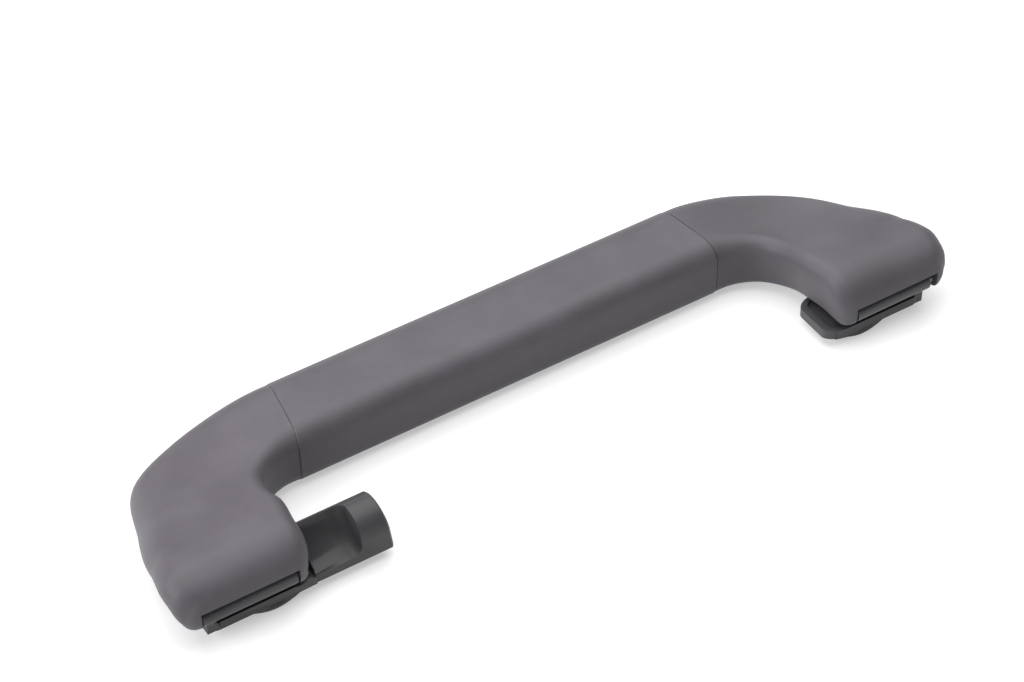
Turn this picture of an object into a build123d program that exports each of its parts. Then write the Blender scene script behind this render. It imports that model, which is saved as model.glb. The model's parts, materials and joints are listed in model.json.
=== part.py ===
"""Roof grab handle: a fold-down grip on two screw-down hinge brackets, drawn stowed.

Millimetres. X runs along the grip, +Y from the hinge feet to the grip and +Z away from
the car roof. The origin lies midway between the two fixing holes on the mounting face.
"""
import os
from math import radians, tan

from build123d import *

# Fixing
fixing_pitch = 174.6
screw_hole_radius = 3.2
bush_wall = 1.2

# Grip
seam_x = 61.0
seam_gap = 0.175
grip_front_y = 24.4
grip_back_y = 47.8
grip_back_z = 17.2
grip_slope = 0.015
edge_round_back = 8.0
edge_round_front = 5.5
edge_round_low = 4.5
sleeve_skin = 2.2

# Shoulders and legs, in plan
shoulder_x = 101.4
shoulder_drop = 2.1
shoulder_radius = 34.0
crotch_x = 77.2
crotch_drop = 1.2
crotch_radius = 14.0
toe_inner_x = 78.8
toe_outer_x = 113.8
toe_y = -10.4

# Legs and feet, from the side
leg_rise_y = 21.0
foot_top_y = 1.5
foot_top_z = 22.0
nose_low_z = 11.0
foot_clearance = 7.5
heel_y = 5.0
heel_end_y = 15.0
foot_wall = 2.4
hollow_side = 5.2
hollow_roof_z = 16.0
hollow_back_y = 13.6
hollow_back_z = 14.2
notch_lip_z = 14.4

# Hinge
hinge_y = -7.6
hinge_z = 10.3
pin_radius = 1.5
pin_running = 0.05
tab_radius = 2.8
tab_inner_face = 82.0
tab_outer_face = 109.0
knuckle_radius = 2.7
knuckle_gap = 0.6
knuckle_end = 106.0
swing_clearance = 0.35
blind_depth = 1.6

# Brackets
plate_inner_x = 78.6
plate_outer_x = 106.2
plate_front_y = -7.8
plate_back_y = 7.6
plate_low_z = 2.7
plate_thickness = 2.2
plate_corner = 3.5
rim_height = 0.4
rim_width = 1.2
boss_side = 14.5
boss_flat_radius = 6.9
boss_flare = 3.6
slit_width = 3.7
slit_height = 0.5
slit_depth = 0.6
neck_back = 2.4
neck_thickness = 1.8
web_width = 2.6
stop_x = 100.0
stop_y = 4.0
stop_length = 6.0
stop_width = 5.0
stop_height = 2.1
stop_rib = 2.4

# Arm of the left bracket
arm_end_x = 54.8
collar_length = 8.6
barrel_y = -0.9
barrel_z = 8.8
barrel_radius = 6.4
barrel_chamfer = 0.5
saddle_gap = 0.6
saddle_front_y = -7.0
saddle_lip = 1.3
saddle_slope = 38.0
saddle_step = 0.3
saddle_round = 1.2
arm_front_root = -7.8
arm_front_end = -7.0
arm_setback = 1.0

boss_x = fixing_pitch / 2
bush_radius = screw_hole_radius + bush_wall
plate_top_z = plate_low_z + plate_thickness
knuckle_start = tab_inner_face + knuckle_gap
notch_top_z = hinge_z + knuckle_radius + swing_clearance
stop_top_z = plate_top_z + stop_height
shoulder_y = grip_back_y - shoulder_drop
crotch_y = grip_front_y - crotch_drop
leg_rise_z = grip_back_z + grip_slope * (grip_back_y - leg_rise_y)
far_y = grip_back_y + 10
far_z = grip_back_z - grip_slope * 10
reach = toe_outer_x + 10

# Whole outside of the handle, with the grip and both legs in one
with BuildPart() as handle_form:
    with BuildSketch() as plan:
        with BuildLine():
            back_line = ThreePointArc((-shoulder_x, shoulder_y), (0, grip_back_y), (shoulder_x, shoulder_y))
            right_leg = Polyline(
                back_line @ 1, (toe_outer_x, toe_y), (toe_inner_x, toe_y), (crotch_x, crotch_y)
            )
            front_line = ThreePointArc(right_leg @ 1, (0, grip_front_y), (-crotch_x, crotch_y))
            Polyline(
                front_line @ 1, (-toe_inner_x, toe_y), (-toe_outer_x, toe_y), back_line @ 0
            )
        make_face()
        fillet(plan.vertices().filter_by_position(Axis.Y, shoulder_y - 0.1, shoulder_y + 0.1), shoulder_radius)
        crotches = plan.vertices().filter_by_position(Axis.Y, crotch_y - 0.1, crotch_y + 0.1)
        fillet(crotches.filter_by_position(Axis.X, -crotch_x - 0.1, crotch_x + 0.1), crotch_radius)
    extrude(amount=foot_top_z + 10)
    with BuildSketch(Plane.YZ):
        with BuildLine():
            grip_top = Line((far_y, far_z), (leg_rise_y, leg_rise_z))
            nose = Spline(
                grip_top @ 1,
                (foot_top_y, foot_top_z),
                (toe_y, nose_low_z),
                tangents=(grip_top % 1, (-1, 0.05), (0, -1)),
            )
            Polyline(nose @ 1, (toe_y, -1), (far_y, -1), (far_y, far_z))
        make_face()
    extrude(amount=reach, both=True, mode=Mode.INTERSECT)
    for y, z, radius in (
        (grip_back_y, grip_back_z, edge_round_back),
        (grip_front_y, leg_rise_z, edge_round_front),
        (grip_back_y, 0, edge_round_low),
    ):
        fillet(handle_form.edges().sort_by_distance((0, y, z))[0], radius)
    # Underside of the legs, rising to the hinge and rounded about it at the toe
    with BuildSketch(Plane.YZ):
        with BuildLine():
            heel = Spline((heel_y, foot_clearance), (heel_end_y, -0.5), tangents=((1, 0), (1, -0.15)))
            Polyline(heel @ 1, (heel_end_y, -5), (2 * toe_y, -5), (2 * toe_y, hinge_z), (toe_y, hinge_z))
            RadiusArc((toe_y, hinge_z), (hinge_y, foot_clearance), tab_radius)
            Line((hinge_y, foot_clearance), heel @ 0)
        make_face()
    extrude(amount=reach, both=True, mode=Mode.SUBTRACT)

# Core bar that the grip sleeve sits on
core_front = grip_front_y + sleeve_skin
core_back = shoulder_y - sleeve_skin
core_top = grip_back_z - sleeve_skin
core_round = edge_round_front - sleeve_skin
with BuildPart() as core_bar:
    with BuildSketch(Plane.YZ):
        with Locations(((core_front + core_back) / 2, (sleeve_skin + core_top) / 2)):
            RectangleRounded(core_back - core_front, core_top - sleeve_skin, core_round)
    extrude(amount=seam_x, both=True)

# Hollow of the right foot
hollow_lean = (toe_outer_x - shoulder_x) / (shoulder_y - toe_y)
hollow_outer_x = toe_outer_x - hollow_side
with BuildPart() as foot_hollow:
    with BuildSketch():
        with BuildLine():
            Polyline(
                (toe_inner_x + foot_wall, toe_y + foot_wall),
                (hollow_outer_x, toe_y + foot_wall),
                (hollow_outer_x - hollow_lean * (hollow_back_y - toe_y), hollow_back_y),
                (toe_inner_x + foot_wall, hollow_back_y),
                close=True,
            )
        make_face()
    extrude(amount=foot_top_z)
    with BuildSketch(Plane.YZ):
        with BuildLine():
            Polyline(
                (toe_y, -1),
                (toe_y + foot_wall, notch_lip_z),
                (toe_y + 2 * foot_wall, hollow_roof_z),
                (heel_y, hollow_roof_z),
                (hollow_back_y, hollow_back_z),
                (hollow_back_y, -1),
                close=True,
            )
        make_face()
    extrude(amount=reach, mode=Mode.INTERSECT)

with BuildPart() as handle_frame:
    add(handle_form.part)
    with BuildSketch(Plane.YZ):
        with Locations((grip_back_y / 2, 0)):
            Rectangle(2 * grip_back_y, 4 * foot_top_z)
    extrude(amount=seam_x, both=True, mode=Mode.SUBTRACT)
    add(core_bar.part)
    add(foot_hollow.part, mode=Mode.SUBTRACT)
    add(mirror(foot_hollow.part, about=Plane.YZ), mode=Mode.SUBTRACT)
    notch_x = (tab_inner_face + tab_outer_face) / 2
    with BuildSketch(Plane.XY.offset(notch_top_z)):
        # Notches for the knuckles in the front walls
        with Locations((notch_x, hinge_y), (-notch_x, hinge_y)):
            Rectangle(tab_outer_face - tab_inner_face, 2 * (knuckle_radius + swing_clearance) + 1)
    extrude(amount=-notch_top_z, mode=Mode.SUBTRACT)
    with BuildSketch(Plane.XY.offset(stop_top_z)):
        # Ribs that rest on the brackets' stops
        with Locations((stop_x, stop_y), (-stop_x, stop_y)):
            Rectangle(stop_rib, stop_length)
    extrude(amount=hollow_roof_z + 1 - stop_top_z)
    # Pin holes, both drilled from the +X side and blind at the far tab
    for open_face, blind_face in (
        (toe_outer_x + 1, tab_inner_face - blind_depth),
        (-toe_inner_x + 1, -tab_outer_face - blind_depth),
    ):
        with BuildSketch(Plane.YZ.offset(blind_face)):
            with Locations((hinge_y, hinge_z)):
                Circle(pin_radius)
        extrude(amount=open_face - blind_face, mode=Mode.SUBTRACT)
handle_frame.part.label = "handle_frame"

sleeve_end = seam_x - seam_gap
with BuildPart() as grip_sleeve:
    add(handle_form.part)
    split(bisect_by=Plane.YZ.offset(sleeve_end), keep=Keep.BOTTOM)
    split(bisect_by=Plane.YZ.offset(-sleeve_end), keep=Keep.TOP)
    add(core_bar.part, mode=Mode.SUBTRACT)
grip_sleeve.part.label = "grip_sleeve"

plate_mid = ((plate_inner_x + plate_outer_x) / 2, (plate_front_y + plate_back_y) / 2)
plate_size = (plate_outer_x - plate_inner_x, plate_back_y - plate_front_y)
with BuildPart() as right_bracket:
    with BuildSketch(Plane.XY.offset(plate_low_z)):
        with Locations(plate_mid):
            RectangleRounded(plate_size[0], plate_size[1], plate_corner)
    extrude(amount=plate_thickness + rim_height)
    with BuildSketch(Plane.XY.offset(plate_top_z)):
        with Locations(plate_mid):
            RectangleRounded(plate_size[0] - 2 * rim_width, plate_size[1] - 2 * rim_width, plate_corner - rim_width)
    extrude(amount=rim_height, mode=Mode.SUBTRACT)
    # Square boss with a conical chamfer, like a nut
    with BuildSketch(Plane.XZ):
        with BuildLine():
            Polyline(
                (boss_x, 0),
                (boss_x + boss_flat_radius, 0),
                (boss_x + boss_flat_radius + boss_flare, plate_low_z),
                (boss_x, plate_low_z),
                close=True,
            )
        make_face()
    revolve(axis=Axis((boss_x, 0, 0), (0, 0, 1)))
    with BuildSketch():
        with Locations((boss_x, 0)):
            Rectangle(boss_side + 8, boss_side + 8)
            Rectangle(boss_side, boss_side, mode=Mode.SUBTRACT)
    extrude(amount=plate_low_z, mode=Mode.SUBTRACT)
    with BuildSketch(Plane.XZ.offset(boss_side / 2 - slit_depth)):
        with Locations((boss_x, plate_low_z - slit_height)):
            Rectangle(slit_width, slit_height)
    extrude(amount=slit_depth, mode=Mode.SUBTRACT)
    # Knuckle bar, the web at its outer end and the neck behind it
    with BuildSketch(Plane.YZ.offset(knuckle_start)):
        with Locations((hinge_y, hinge_z)):
            Circle(knuckle_radius)
    extrude(amount=knuckle_end - knuckle_start)
    neck_y = hinge_y + neck_back - neck_thickness
    with BuildSketch(Plane.YZ.offset(knuckle_start)):
        with BuildLine():
            Polyline(
                (neck_y, plate_low_z),
                (neck_y + neck_thickness, plate_low_z),
                (neck_y + neck_thickness, hinge_z),
                (neck_y, hinge_z),
                close=True,
            )
        make_face()
    extrude(amount=knuckle_end - knuckle_start)
    with BuildSketch(Plane.YZ.offset(knuckle_end - web_width)):
        with BuildLine():
            Polyline(
                (plate_front_y + 0.2, plate_low_z),
                (neck_y, plate_low_z),
                (neck_y, hinge_z),
                (plate_front_y + 0.2, hinge_z - 1.5),
                close=True,
            )
        make_face()
    extrude(amount=web_width)
    # Stop under the foot's rib
    with BuildSketch(Plane.XY.offset(plate_low_z)):
        with Locations((stop_x, stop_y)):
            RectangleRounded(stop_width, stop_length + 1, 1)
    extrude(amount=stop_top_z - plate_low_z)
    # Bores for the pin and the screw bush
    with BuildSketch(Plane.YZ.offset(knuckle_start - 1)):
        with Locations((hinge_y, hinge_z)):
            Circle(pin_radius + pin_running)
    extrude(amount=knuckle_end - knuckle_start + 2, mode=Mode.SUBTRACT)
    with BuildSketch():
        with Locations((boss_x, 0)):
            Circle(bush_radius)
    extrude(amount=plate_top_z, mode=Mode.SUBTRACT)
right_bracket.part.label = "right_bracket"

collar_start = arm_end_x + collar_length
saddle_end = crotch_x - saddle_gap
saddle_top = barrel_z + barrel_radius - saddle_step
slope_run = (saddle_top - plate_top_z - saddle_lip) / tan(radians(saddle_slope))
saddle_back = barrel_y + barrel_radius - saddle_step
with BuildPart() as left_bracket:
    add(mirror(right_bracket.part, about=Plane.YZ))
    # Arm carried on from the plate
    with BuildSketch(Plane.XY.offset(plate_low_z)):
        with BuildLine():
            Polyline(
                (-plate_inner_x - plate_corner, arm_front_root),
                (-arm_end_x - arm_setback, arm_front_end),
                (-arm_end_x - arm_setback, saddle_back),
                (-plate_inner_x - plate_corner, saddle_back),
                close=True,
            )
        make_face()
    extrude(amount=plate_thickness)
    # Saddle with a sloping front
    with BuildSketch(Plane.YZ.offset(-saddle_end)):
        with BuildLine():
            FilletPolyline(
                (saddle_back, plate_low_z),
                (saddle_front_y, plate_low_z),
                (saddle_front_y, plate_top_z + saddle_lip),
                (saddle_front_y + slope_run, saddle_top),
                (saddle_back, saddle_top),
                radius=[0, saddle_round, saddle_round, 0.8, 0],
                close=True,
            )
        make_face()
    extrude(amount=saddle_end - collar_start)
    # Collar at the end of the arm
    with BuildSketch(Plane.YZ.offset(-collar_start)):
        with Locations((barrel_y, barrel_z)):
            Circle(barrel_radius)
    extrude(amount=collar_length)
    rim = left_bracket.edges().filter_by(GeomType.CIRCLE).group_by(Axis.X)[-1]
    chamfer(rim, barrel_chamfer)
    with BuildSketch():
        with Locations((-boss_x, 0)):
            Circle(bush_radius)
    extrude(amount=plate_top_z, mode=Mode.SUBTRACT)
left_bracket.part.label = "left_bracket"

pin_length = tab_outer_face - tab_inner_face + 2 * blind_depth
with BuildPart() as right_hinge_pin:
    with BuildSketch(Plane.YZ.offset(tab_inner_face - blind_depth)):
        with Locations((hinge_y, hinge_z)):
            Circle(pin_radius)
    extrude(amount=pin_length)
right_hinge_pin.part.label = "right_hinge_pin"

with BuildPart() as left_hinge_pin:
    with BuildSketch(Plane.YZ.offset(-tab_outer_face - blind_depth)):
        with Locations((hinge_y, hinge_z)):
            Circle(pin_radius)
    extrude(amount=pin_length)
left_hinge_pin.part.label = "left_hinge_pin"

with BuildPart() as right_screw_bush:
    with BuildSketch():
        with Locations((boss_x, 0)):
            Circle(bush_radius)
            Circle(screw_hole_radius, mode=Mode.SUBTRACT)
    extrude(amount=plate_top_z)
right_screw_bush.part.label = "right_screw_bush"

with BuildPart() as left_screw_bush:
    add(mirror(right_screw_bush.part, about=Plane.YZ))
left_screw_bush.part.label = "left_screw_bush"

os.makedirs("parts", exist_ok=True)
export_step(handle_frame.part, "parts/handle_frame.step")
export_step(grip_sleeve.part, "parts/grip_sleeve.step")
export_step(right_bracket.part, "parts/right_bracket.step")
export_step(left_bracket.part, "parts/left_bracket.step")
export_step(right_hinge_pin.part, "parts/right_hinge_pin.step")
export_step(left_hinge_pin.part, "parts/left_hinge_pin.step")
export_step(right_screw_bush.part, "parts/right_screw_bush.step")
export_step(left_screw_bush.part, "parts/left_screw_bush.step")
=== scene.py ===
"""Looks of the roof grab handle on a white table."""
import json
from math import atan2, cos, pi, radians, sin, sqrt, tan

import bmesh
import bpy
from mathutils import Matrix, Vector


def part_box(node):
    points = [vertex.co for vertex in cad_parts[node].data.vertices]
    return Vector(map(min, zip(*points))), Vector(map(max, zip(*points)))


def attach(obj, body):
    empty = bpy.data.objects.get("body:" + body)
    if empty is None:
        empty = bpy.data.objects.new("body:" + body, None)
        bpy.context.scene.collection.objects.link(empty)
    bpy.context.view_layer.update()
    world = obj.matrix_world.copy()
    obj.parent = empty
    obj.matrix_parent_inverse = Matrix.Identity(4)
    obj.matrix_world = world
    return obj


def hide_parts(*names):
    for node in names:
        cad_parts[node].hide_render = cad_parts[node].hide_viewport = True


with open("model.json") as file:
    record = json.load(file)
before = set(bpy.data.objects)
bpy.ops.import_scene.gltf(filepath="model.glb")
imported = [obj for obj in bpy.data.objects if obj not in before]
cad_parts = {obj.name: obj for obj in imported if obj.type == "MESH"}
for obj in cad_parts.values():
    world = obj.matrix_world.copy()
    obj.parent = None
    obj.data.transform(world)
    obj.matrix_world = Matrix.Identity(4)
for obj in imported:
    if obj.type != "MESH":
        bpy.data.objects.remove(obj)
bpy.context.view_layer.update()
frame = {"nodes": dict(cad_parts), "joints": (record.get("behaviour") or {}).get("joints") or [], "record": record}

# Sizes of the handle are in millimetres, those of the table, lamps and camera in metres
MM = 0.001

# Places taken from the frame
_, hinge_y, hinge_z = (place / MM for place in frame["joints"][0]["pos_m"])
pin_inner_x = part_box("right_hinge_pin")[0].x / MM
plate_inner_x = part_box("right_bracket")[0].x / MM
arm_end_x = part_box("left_bracket")[1].x / MM

# Grip; all roundings are listed as low inner, low outer, top outer and top inner edge
grip_front_y = 24.3
grip_back_y = 48.2
grip_height = 18.0
grip_rounds = (4.5, 5.5, 7.5, 5.5)
sleeve_skin = 2.2
sleeve_proud = 0.15

# Seams, further apart at the grip's front than at its back
seam_x = 61.0
seam_slant = 0.15
seam_lap = 2.4
seam_gap = 0.12
seam_bevel = 0.22

# Bend from the grip to the leg, given at five even turns about the middle of the crotch
crotch_radius = 16.9
leg_turn = 90.0
bend_x = seam_x
bend_y = grip_front_y - crotch_radius
bend_inner = (crotch_radius, 17.0, 17.0, 16.7, 16.4)
bend_outer = (grip_back_y - grip_front_y + crotch_radius, 45.3, 52.8, 52.4, 54.3)
bend_lean = (0.0, 0.0, 0.3, 3.9, 5.9)
bend_low = (0.0, 0.8, 1.7, 3.2, 6.0)
bend_high = (grip_height, 17.9, 17.9, 18.9, 20.9)
bend_fall = (0.0, 4.8, 11.8, 6.2, 1.6)
bend_lip = (0.0, -0.8, -1.8, 0.2, 1.6)
bend_tuck = (0.0, 0.6, 1.2, 1.6, 1.0)
bend_rounds = (
    grip_rounds,
    (4.2, 3.0, 8.6, 4.4),
    (3.6, 0.5, 7.0, 3.4),
    (3.0, 1.6, 7.5, 3.2),
    (2.0, 1.8, 6.2, 3.4),
)

# Foot, with its inner and outer side measured from the middle of the crotch too
foot_y = -1.0
foot_inner = 17.6
foot_outer = 55.7
foot_lean = 5.7
foot_low = 7.5
foot_high = 21.9
foot_fall = 0.9
foot_lip = 1.6
foot_tuck = 0.0
foot_rounds = (1.5, 1.5, 5.8, 4.0)

# Toe; the shares limit its roundings by its height
toe_y = -10.4
toe_flare = 0.8
toe_inner_round = 3.8
toe_outer_round = 5.5
toe_low_round = 2.8
toe_top_round = 10.0
toe_round_shares = (0.25, 0.25, 0.6, 0.45)

# Hinge pins, which end inside the toes
pin_radius = 1.5
pin_outer_x = 109.0
pin_chamfer = 0.3

# Notch for the knuckle, hollow of the foot and the rib in it
notch_x = (82.0, 108.2)
notch_y = (-14.0, -4.05)
notch_top_z = 13.35
hollow_x = (81.2, 108.6)
hollow_y = (-8.0, 13.6)
hollow_front_slope = 1.0
hollow_bend_y = 5.0
hollow_roof_z = 16.0
hollow_back_z = 14.2
hollow_taper = 4.0
rib_x = (98.8, 101.2)
rib_y = (1.0, 7.0)
rib_low_z = 7.0

# Plate of the right bracket, drawn out at its inner end
plate_draw_x = 82.4
plate_draw = 3.0

# Arm of the left bracket, with a barrel at its end and a scoop beside the foot
arm_start_x = -76.6
arm_low_z = 2.7
arm_overlap = 0.2
barrel_y = -0.9
barrel_z = 8.8
barrel_radius = 6.4
barrel_chamfer = 0.5
barrel_length = 8.6
barrel_slant = 0.13
scoop_y = -8.5
scoop_z = 16.2
scoop_radius = 11.0
scoop_end_round = 3.0
knuckle_radius = 2.7
knuckle_end_x = (-107.8, -104.0)

# Fineness of the meshes, and how far cutting tools reach past what they cut
corner_steps = 8
side_steps = 6
steps_per_turn = 8
toe_steps = 18
sleeve_steps = 16
scoop_steps = 10
circle_sides = 48
arch_sides = 32
sharp_angle = 32.0
side_share = 0.98
weld_distance = 0.002
tool_margin = 1.0

# Colour sockets of a mix node, which has others of the same names
MIX_COLOURS = (6, 7)
MIX_RESULT = 2


def rolled(radius, depth):
    """Set-back of a rounded edge at a depth from its front."""
    left = radius - min(depth, radius)
    return radius - sqrt(radius**2 - left**2)


def rounded_ring(corners, rounds):
    """Points round a polygon with rounded corners, which are limited by a share of the sides."""
    corners = [Vector(corner) for corner in corners]
    sides = [following - corner for corner, following in zip(corners, corners[1:] + corners[:1])]
    halves = [(pi - sides[i - 1].angle(side)) / 2 for i, side in enumerate(sides)]
    runs = [radius / tan(half) for radius, half in zip(rounds, halves)]
    room = [side.length / (run + after) for side, run, after in zip(sides, runs, runs[1:] + runs[:1])]
    arcs = []
    for i, half in enumerate(halves):
        corner = corners[i]
        before, after = -sides[i - 1].normalized(), sides[i].normalized()
        radius = rounds[i] * min(1.0, side_share * room[i - 1], side_share * room[i])
        middle = corner + (before + after).normalized() * (radius / sin(half))
        start = corner + before * (radius / tan(half)) - middle
        first = atan2(start.y, start.x)
        sweep = pi - 2 * half
        turns = (first + sweep * step / corner_steps for step in range(corner_steps + 1))
        arcs.append([middle + radius * Vector((cos(angle), sin(angle))) for angle in turns])
    points = []
    for arc, following in zip(arcs, arcs[1:] + arcs[:1]):
        points += arc
        points += [arc[-1].lerp(following[0], step / side_steps) for step in range(1, side_steps)]
    return points


def section(turn, y, inner, outer, lean, low, high, fall, lip, tuck, rounds):
    """Ring across the handle, at a turn from the grip's own section.

    The outer wall leans in towards its foot, the top falls to its outer edge, the lip is what
    the top stands over the inner wall, and the tuck is what the underside stays short of it.
    """
    corners = [(inner + tuck, low), (outer - lean, low), (outer, high - fall), (inner - lip, high)]
    out = Vector((sin(radians(turn)), cos(radians(turn))))
    ring = []
    for across, up in rounded_ring(corners, rounds):
        ring.append(Vector((bend_x + out.x * across, y + out.y * across, up)) * MM)
    return ring


def flowing(values, place):
    """Value at a place along evenly spaced stations, on a smooth curve through them."""
    last = len(values) - 1
    i = min(int(place), last - 1)
    t = place - i
    a, b, c, d = (values[max(0, min(last, k))] for k in (i - 1, i, i + 1, i + 2))
    slope_b, slope_c = (c - a) / 2, (d - b) / 2
    return (
        b * (2 * t**3 - 3 * t**2 + 1)
        + c * (3 * t**2 - 2 * t**3)
        + slope_b * (t**3 - 2 * t**2 + t)
        + slope_c * (t**3 - t**2)
    )


def leg_rings():
    """Rings of the right end, from its lap under the sleeve round the bend and down to the foot."""
    stations = {
        "inner": [*bend_inner, foot_inner],
        "outer": [*bend_outer, foot_outer],
        "lean": [*bend_lean, foot_lean],
        "low": [*bend_low, foot_low],
        "high": [*bend_high, foot_high],
        "fall": [*bend_fall, foot_fall],
        "lip": [*bend_lip, foot_lip],
        "tuck": [*bend_tuck, foot_tuck],
    }
    rounds = [*bend_rounds, foot_rounds]
    bend_last = len(bend_inner) - 1
    rings = []
    for step in range((bend_last + 1) * steps_per_turn):
        place = step / steps_per_turn
        turn = min(place, bend_last) / bend_last * leg_turn
        y = bend_y + (foot_y - bend_y) * max(0.0, place - bend_last)
        values = {key: flowing(row, place) for key, row in stations.items()}
        values["low"] = max(0.0, values["low"])
        ring_rounds = [flowing(row, place) for row in zip(*rounds)]
        rings.append(section(turn, y, rounds=ring_rounds, **values))
    lap = Vector((seam_lap * MM, 0, 0))
    return [[point - lap for point in rings[0]], *rings]


def toe_rings():
    """Rings that go on from the foot and round off its toe."""
    rings = []
    for step in range(toe_steps):
        depth = (foot_y - toe_y) * (1 - step / toe_steps) ** 2
        share = min(1.0, depth / toe_outer_round)
        low = foot_low + rolled(toe_low_round, depth)
        high = foot_high - rolled(toe_top_round, depth)
        limits = [limit * (high - low) for limit in toe_round_shares]
        ring = section(
            leg_turn,
            toe_y + depth,
            inner=foot_inner + rolled(toe_inner_round, depth),
            outer=foot_outer + toe_flare * (1 - share) - rolled(toe_outer_round, depth),
            lean=foot_lean,
            low=low,
            high=high,
            fall=foot_fall * share,
            lip=foot_lip * share,
            tuck=foot_tuck,
            rounds=[min(radius, limit) for radius, limit in zip(foot_rounds, limits)],
        )
        rings.append(ring)
    return rings


def placed(name, mesh):
    """Object with a mesh, in the scene."""
    piece = bpy.data.objects.new(name, mesh)
    bpy.context.scene.collection.objects.link(piece)
    return piece


def skin(name, rings, closed=False):
    """Mesh object over a row of rings, capped at its ends unless the row closes on itself."""
    form = bmesh.new()
    rows = [[form.verts.new(point) for point in ring] for ring in rings]
    following_rows = rows[1:] + rows[:1] if closed else rows[1:]
    for row, following in zip(rows, following_rows):
        for i in range(len(row)):
            form.faces.new((row[i - 1], row[i], following[i], following[i - 1]))
    if not closed:
        form.faces.new(rows[0])
        form.faces.new(rows[-1])
    bmesh.ops.recalc_face_normals(form, faces=form.faces)
    mesh = bpy.data.meshes.new(name)
    form.to_mesh(mesh)
    form.free()
    return placed(name, mesh)


def box(name, x, y, z):
    """Block between two values along each axis."""
    plan = [(x[0], y[0]), (x[1], y[0]), (x[1], y[1]), (x[0], y[1])]
    return upright_prism(name, plan, z)


def upright_prism(name, plan, z):
    """Solid with an outline seen from above, between two heights."""
    return skin(name, [[Vector((x * MM, y * MM, height * MM)) for x, y in plan] for height in z])


def level_prism(name, profile, x):
    """Solid with an outline seen from the side, between two places along X."""
    return skin(name, [[Vector((place * MM, y * MM, z * MM)) for y, z in profile] for place in x])


def join(piece, tool, operation):
    """Cuts a tool from a piece, keeps what both share or unites them, and deletes the tool."""
    change = piece.modifiers.new(tool.name, "BOOLEAN")
    change.operation = operation
    change.solver = "EXACT"
    change.object = tool
    graph = bpy.context.evaluated_depsgraph_get()
    mesh = bpy.data.meshes.new_from_object(piece.evaluated_get(graph))
    piece.modifiers.clear()
    piece.data = mesh
    bpy.data.objects.remove(tool)


def mirrored(piece):
    """Copy of a piece on the other side of the middle plane."""
    form = bmesh.new()
    form.from_mesh(piece.data)
    for vert in form.verts:
        vert.co.x = -vert.co.x
    bmesh.ops.reverse_faces(form, faces=form.faces)
    mesh = bpy.data.meshes.new(piece.name + "_mirrored")
    form.to_mesh(mesh)
    form.free()
    return placed(mesh.name, mesh)


def smooth(piece):
    """Smooth shading with hard edges where the surface turns sharply."""
    piece.data.shade_smooth()
    piece.data.set_sharp_from_angle(angle=radians(sharp_angle))


def circle_ring(x, y, z, radius):
    """Ring round a line along X."""
    turns = (2 * pi * i / circle_sides for i in range(circle_sides))
    return [Vector((x, y + radius * cos(turn), z + radius * sin(turn))) * MM for turn in turns]


def pin_bore(start, end):
    """Round tool on the hinge axis."""
    return skin("pin_bore", [circle_ring(x, hinge_y, hinge_z, pin_radius) for x in (start, end)])


def hinge_pin(name, start, end):
    """Pin with chamfered ends."""
    steps = (
        (start, pin_radius - pin_chamfer),
        (start + pin_chamfer, pin_radius),
        (end - pin_chamfer, pin_radius),
        (end, pin_radius - pin_chamfer),
    )
    piece = skin(name, [circle_ring(x, hinge_y, hinge_z, radius) for x, radius in steps])
    smooth(piece)
    return piece


def arch_ring(x, inset, slant=0.0):
    """Ring of the arm: upright walls under a half round, set in by an amount and leaning back."""
    radius = barrel_radius - inset
    points = [(barrel_y + radius, arm_low_z + inset), (barrel_y + radius, barrel_z)]
    for i in range(1, arch_sides):
        turn = pi * i / arch_sides
        points.append((barrel_y + radius * cos(turn), barrel_z + radius * sin(turn)))
    points += [(barrel_y - radius, barrel_z), (barrel_y - radius, arm_low_z + inset)]
    return [Vector((x - slant * (z - arm_low_z), y, z)) * MM for y, z in points]


def scoop():
    """Round tool that runs from the foot along the arm and ends in a rounded edge at the barrel."""
    rings = [circle_ring(arm_start_x - tool_margin, scoop_y, scoop_z, scoop_radius)]
    stop_x = arm_end_x - barrel_length
    for i in range(scoop_steps):
        share = i / scoop_steps
        radius = scoop_radius - scoop_end_round * (1 - sqrt(1 - share**2))
        rings.append(circle_ring(stop_x - scoop_end_round * (1 - share), scoop_y, scoop_z, radius))
    return skin("scoop", rings)


def left_bracket():
    """The left bracket's plate and knuckle, with its arm remade: a scooped bar that ends in a barrel."""
    piece = placed("left_bracket_moulding", frame["nodes"]["left_bracket"].data.copy())
    form = bmesh.new()
    form.from_mesh(piece.data)
    bmesh.ops.remove_doubles(form, verts=form.verts, dist=weld_distance * MM)
    form.to_mesh(piece.data)
    form.free()
    room_x = (arm_start_x + arm_overlap, 0.0)
    room_y = (toe_y, grip_front_y)
    room_z = (-tool_margin, foot_high)
    join(piece, box("room", room_x, room_y, room_z), "DIFFERENCE")
    arm_rings = [
        arch_ring(arm_start_x, 0),
        arch_ring(arm_end_x - barrel_chamfer, 0, barrel_slant),
        arch_ring(arm_end_x, barrel_chamfer, barrel_slant),
    ]
    arm = skin("arm", arm_rings)
    join(arm, scoop(), "DIFFERENCE")
    join(piece, arm, "UNION")
    knuckle_rings = [circle_ring(x, hinge_y, hinge_z, knuckle_radius) for x in knuckle_end_x]
    join(piece, skin("knuckle_end", knuckle_rings), "UNION")
    smooth(piece)
    return piece


def right_bracket():
    """The right bracket with the inner end of its plate drawn out to the length in the photograph."""
    piece = placed("right_bracket_moulding", frame["nodes"]["right_bracket"].data.copy())
    for vert in piece.data.vertices:
        depth = plate_draw_x - vert.co.x / MM
        if depth > 0:
            vert.co.x -= plate_draw * depth / (plate_draw_x - plate_inner_x) * MM
    return piece


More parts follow.
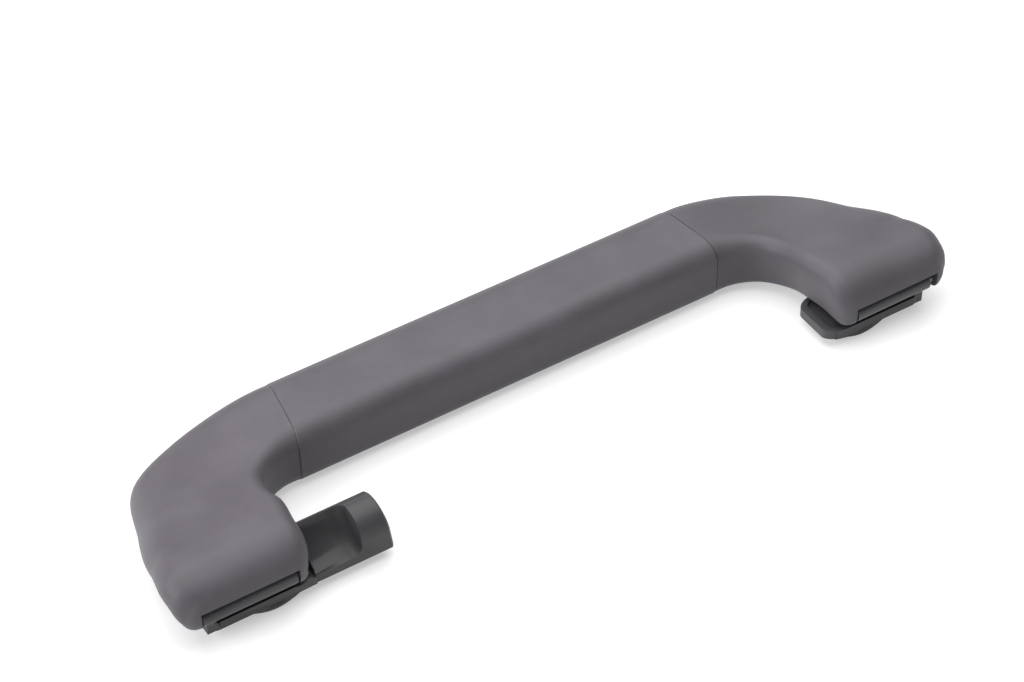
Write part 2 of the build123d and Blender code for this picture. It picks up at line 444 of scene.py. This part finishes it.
def grip_ring(x, inset, lowest=0.0):
    """Ring of the grip, set in all round but kept above a height, and slanted as the seams are."""
    slant = seam_slant * x / seam_x
    middle_y = (grip_front_y + grip_back_y) / 2
    low = max(lowest, inset)
    corners = [
        (grip_front_y + inset, low),
        (grip_back_y - inset, low),
        (grip_back_y - inset, grip_height - inset),
        (grip_front_y + inset, grip_height - inset),
    ]
    ring = rounded_ring(corners, [radius - inset for radius in grip_rounds])
    return [Vector((x + slant * (middle_y - y), y, z)) * MM for y, z in ring]


def foot_hollow():
    """Tool for the hollow of the right foot, whose roof slopes down at the back."""
    plan = [
        (hollow_x[0], hollow_y[0]),
        (hollow_x[1], hollow_y[0]),
        (hollow_x[1] - hollow_taper, hollow_y[1]),
        (hollow_x[0], hollow_y[1]),
    ]
    back_y = hollow_y[1] + tool_margin
    low_z = -foot_low - tool_margin
    profile = [
        (hollow_y[0] - hollow_front_slope, low_z),
        (hollow_y[0] + hollow_front_slope, hollow_roof_z),
        (hollow_bend_y, hollow_roof_z),
        (back_y, hollow_back_z),
        (back_y, low_z),
    ]
    hollow = upright_prism("hollow", plan, (-foot_low, foot_high))
    across = (hollow_x[0] - tool_margin, hollow_x[1] + tool_margin)
    join(hollow, level_prism("hollow_side", profile, across), "INTERSECT")
    return hollow


def handle_moulding():
    """Both legs with their hollow feet, and the bar inside the grip."""
    piece = skin("handle_moulding", leg_rings() + toe_rings())
    join(piece, foot_hollow(), "DIFFERENCE")
    join(piece, box("notch", notch_x, notch_y, (0.0, notch_top_z)), "DIFFERENCE")
    join(piece, box("rib", rib_x, rib_y, (rib_low_z, hollow_roof_z + tool_margin)), "UNION")
    join(piece, mirrored(piece), "UNION")
    sleeve_room = [grip_ring(x, -sleeve_skin, -sleeve_skin) for x in (-seam_x, seam_x)]
    join(piece, skin("sleeve_room", sleeve_room), "DIFFERENCE")
    bar_end_x = seam_x + tool_margin
    bar_rings = [grip_ring(x, sleeve_skin) for x in (-bar_end_x, bar_end_x)]
    join(piece, skin("bar", bar_rings), "UNION")
    right_face_x = bend_x + foot_outer + toe_flare
    left_face_x = -bend_x - foot_inner + toe_inner_round
    join(piece, pin_bore(pin_inner_x, right_face_x), "DIFFERENCE")
    join(piece, pin_bore(-pin_outer_x, left_face_x), "DIFFERENCE")
    smooth(piece)
    return piece


def sleeve():
    """Grip sleeve, a little proud of the legs, with fine bevels at its two seams."""
    end = seam_x - seam_gap
    places = [(end - seam_bevel) * (2 * i / sleeve_steps - 1) for i in range(sleeve_steps + 1)]
    rings = [
        grip_ring(-end, seam_bevel - sleeve_proud),
        *(grip_ring(x, -sleeve_proud) for x in places),
        grip_ring(end, seam_bevel - sleeve_proud),
        grip_ring(end, sleeve_skin),
        grip_ring(-end, sleeve_skin),
    ]
    piece = skin("grip_cover", rings, closed=True)
    smooth(piece)
    return piece


def new_material(name):
    """An empty node material, its nodes and its output."""
    material = bpy.data.materials.new(name)
    material.use_nodes = True
    tree = material.node_tree
    tree.nodes.clear()
    output = tree.nodes.new("ShaderNodeOutputMaterial")
    return material, tree, output


def node(tree, kind, **values):
    """Adds a node and sets its settings, or its inputs by name."""
    made = tree.nodes.new(kind)
    for key, value in values.items():
        if hasattr(made, key):
            setattr(made, key, value)
        else:
            made.inputs[key.replace("_", " ")].default_value = value
    return made


def spread(tree, source, span, onto):
    """Maps a stretch of a value onto another, held at its ends."""
    made = node(
        tree, "ShaderNodeMapRange", From_Min=span[0], From_Max=span[1], To_Min=onto[0], To_Max=onto[1]
    )
    tree.links.new(source, made.inputs["Value"])
    return made.outputs["Result"]


def blend(tree, share, first, second):
    """Mixes two colours, each a colour or a socket, by a share."""
    made = node(tree, "ShaderNodeMix", data_type="RGBA")
    tree.links.new(share, made.inputs["Factor"])
    for place, colour in zip(MIX_COLOURS, (first, second)):
        if isinstance(colour, tuple):
            made.inputs[place].default_value = (*colour, 1)
        else:
            tree.links.new(colour, made.inputs[place])
    return made.outputs[MIX_RESULT]


def moulded(name, dark, light, worn, roughness, grain, depth):
    """Grained plastic: fine pebble bump, uneven gloss and slightly paler edges."""
    cloud_span = (0.35, 0.65)
    pebble_span = (0.35, 0.75)
    speckle_most = 0.35
    edge_span = (0.53, 0.62)
    edge_most = 0.5
    gloss_span = (0.3, 0.7)
    gloss_change = 0.05

    material, tree, output = new_material(name)
    link = tree.links.new
    place = tree.nodes.new("ShaderNodeTexCoord").outputs["Object"]
    shape = tree.nodes.new("ShaderNodeNewGeometry")
    shader = node(tree, "ShaderNodeBsdfPrincipled", Specular_IOR_Level=0.3)
    pebble = node(tree, "ShaderNodeTexNoise", Scale=grain, Detail=2.0, Roughness=0.6)
    cloud = node(tree, "ShaderNodeTexNoise", Scale=60.0, Detail=5.0, Roughness=0.65)
    link(place, pebble.inputs["Vector"])
    link(place, cloud.inputs["Vector"])

    tone = blend(tree, spread(tree, cloud.outputs["Fac"], cloud_span, (0.0, 1.0)), dark, light)
    speckle = spread(tree, pebble.outputs["Fac"], pebble_span, (0.0, speckle_most))
    tone = blend(tree, speckle, tone, light)
    edge = spread(tree, shape.outputs["Pointiness"], edge_span, (0.0, edge_most))
    link(blend(tree, edge, tone, worn), shader.inputs["Base Color"])
    gloss_ends = (roughness - gloss_change, roughness + gloss_change)
    link(spread(tree, cloud.outputs["Fac"], gloss_span, gloss_ends), shader.inputs["Roughness"])
    bump = node(tree, "ShaderNodeBump", Strength=0.5, Distance=depth)
    link(pebble.outputs["Fac"], bump.inputs["Height"])
    link(bump.outputs["Normal"], shader.inputs["Normal"])
    link(shader.outputs["BSDF"], output.inputs["Surface"])
    return material


def turned_steel(name, dark, light, roughness_span):
    """Dark steel with fine turning marks."""
    material, tree, output = new_material(name)
    link = tree.links.new
    place = tree.nodes.new("ShaderNodeTexCoord").outputs["Object"]
    shader = node(tree, "ShaderNodeBsdfPrincipled", Metallic=1.0)
    marks = node(tree, "ShaderNodeTexNoise", Scale=900.0, Detail=3.0)
    link(place, marks.inputs["Vector"])
    link(blend(tree, marks.outputs["Fac"], dark, light), shader.inputs["Base Color"])
    roughness = spread(tree, marks.outputs["Fac"], (0.0, 1.0), roughness_span)
    link(roughness, shader.inputs["Roughness"])
    link(shader.outputs["BSDF"], output.inputs["Surface"])
    return material


def pale_table(name, dark, light, lift):
    """Pale matt table; what the camera and shiny things see of it is lifted towards white."""
    material, tree, output = new_material(name)
    link = tree.links.new
    noise = node(tree, "ShaderNodeTexNoise", Scale=40.0, Detail=3.0)
    shader = node(tree, "ShaderNodeBsdfDiffuse")
    link(blend(tree, noise.outputs["Fac"], dark, light), shader.inputs["Color"])
    rays = tree.nodes.new("ShaderNodeLightPath")
    seen = node(tree, "ShaderNodeMath", operation="MAXIMUM")
    link(rays.outputs["Is Camera Ray"], seen.inputs[0])
    link(rays.outputs["Is Glossy Ray"], seen.inputs[1])
    glow = node(tree, "ShaderNodeEmission")
    link(spread(tree, seen.outputs[0], (0.0, 1.0), (0.0, lift)), glow.inputs["Strength"])
    both = tree.nodes.new("ShaderNodeAddShader")
    link(shader.outputs["BSDF"], both.inputs[0])
    link(glow.outputs["Emission"], both.inputs[1])
    link(both.outputs["Shader"], output.inputs["Surface"])
    return material


def lamp(name, place, aim, size, power):
    """A soft square lamp that faces a point."""
    light = bpy.data.lights.new(name, "AREA")
    light.size = size
    light.energy = power
    holder = placed(name, light)
    holder.location = place
    holder.rotation_euler = (Vector(aim) - Vector(place)).to_track_quat("-Z", "Y").to_euler()


def fitted_camera(look_at, azimuth, elevation, roll, distance, focal_px, photo_width_px):
    """Camera fitted to the photograph, given by where it stands round a point and its focal length."""
    sensor_width = 36.0
    back = Vector((sin(azimuth) * cos(elevation), -cos(azimuth) * cos(elevation), sin(elevation)))
    level = Vector((cos(azimuth), sin(azimuth), 0.0))
    upright = back.cross(level)
    right = level * cos(roll) + upright * sin(roll)
    up = back.cross(right)
    lens = bpy.data.cameras.new("camera")
    lens.sensor_width = sensor_width
    lens.lens = focal_px / photo_width_px * sensor_width
    lens.clip_start = 0.01
    camera = placed("camera", lens)
    facing = Matrix((right, up, back)).transposed().to_4x4()
    camera.matrix_world = Matrix.Translation(look_at + back * distance) @ facing
    return camera


finishes = {
    "handle_plastic": moulded(
        "handle_plastic",
        dark=(0.104, 0.096, 0.108),
        light=(0.126, 0.117, 0.131),
        worn=(0.17, 0.16, 0.175),
        roughness=0.5,
        grain=2600.0,
        depth=0.0001,
    ),
    "bracket_plastic": moulded(
        "bracket_plastic",
        dark=(0.048, 0.047, 0.050),
        light=(0.062, 0.061, 0.065),
        worn=(0.11, 0.11, 0.115),
        roughness=0.42,
        grain=3200.0,
        depth=0.00005,
    ),
    "steel": turned_steel(
        "steel",
        dark=(0.10, 0.10, 0.105),
        light=(0.18, 0.18, 0.19),
        roughness_span=(0.25, 0.5),
    ),
}
slots = {entry["node"]: entry["material_slot"] for entry in frame["record"]["subparts"]}
for name, piece in frame["nodes"].items():
    piece.data.materials.clear()
    piece.data.materials.append(finishes[slots[name]])

remade = (
    (handle_moulding(), "handle_frame", "handle"),
    (sleeve(), "grip_sleeve", "handle"),
    (hinge_pin("right_pin", pin_inner_x, pin_outer_x), "right_hinge_pin", "handle"),
    (hinge_pin("left_pin", -pin_outer_x, -pin_inner_x), "left_hinge_pin", "handle"),
    (left_bracket(), "left_bracket", "base"),
    (right_bracket(), "right_bracket", "base"),
)
for piece, replaced, body in remade:
    piece.data.materials.clear()
    piece.data.materials.append(finishes[slots[replaced]])
    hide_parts(replaced)
    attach(piece, body)

# Table, a hair below the handle
table_size = 8.0
table_drop = 0.0002
bpy.ops.mesh.primitive_plane_add(size=table_size, location=(0, 0, -table_drop))
table = bpy.context.object
table.name = "table"
table.data.materials.append(
    pale_table("table", dark=(0.62, 0.62, 0.63), light=(0.65, 0.65, 0.66), lift=0.46)
)

# Soft studio light
lamp_aim = (0.0, 0.02, 0.0)
sky_strength = 0.06
lamp("overhead", place=(0.1, 0.35, 1.5), aim=lamp_aim, size=2.2, power=43.0)
lamp("left_fill", place=(-1.2, 0.2, 0.6), aim=lamp_aim, size=0.9, power=13.0)
world = bpy.data.worlds.new("studio")
bpy.context.scene.world = world
world.use_nodes = True
sky = world.node_tree.nodes["Background"]
sky.inputs["Color"].default_value = (1, 1, 1, 1)
sky.inputs["Strength"].default_value = sky_strength

bpy.context.scene.camera = fitted_camera(
    look_at=Vector((0.008989, 0.040166, 0.0)),
    azimuth=radians(-32.19),
    elevation=radians(43.624),
    roll=radians(-0.525),
    distance=0.755441,
    focal_px=2902.564,
    photo_width_px=1024,
)
bpy.context.scene.view_settings.view_transform = "Standard"
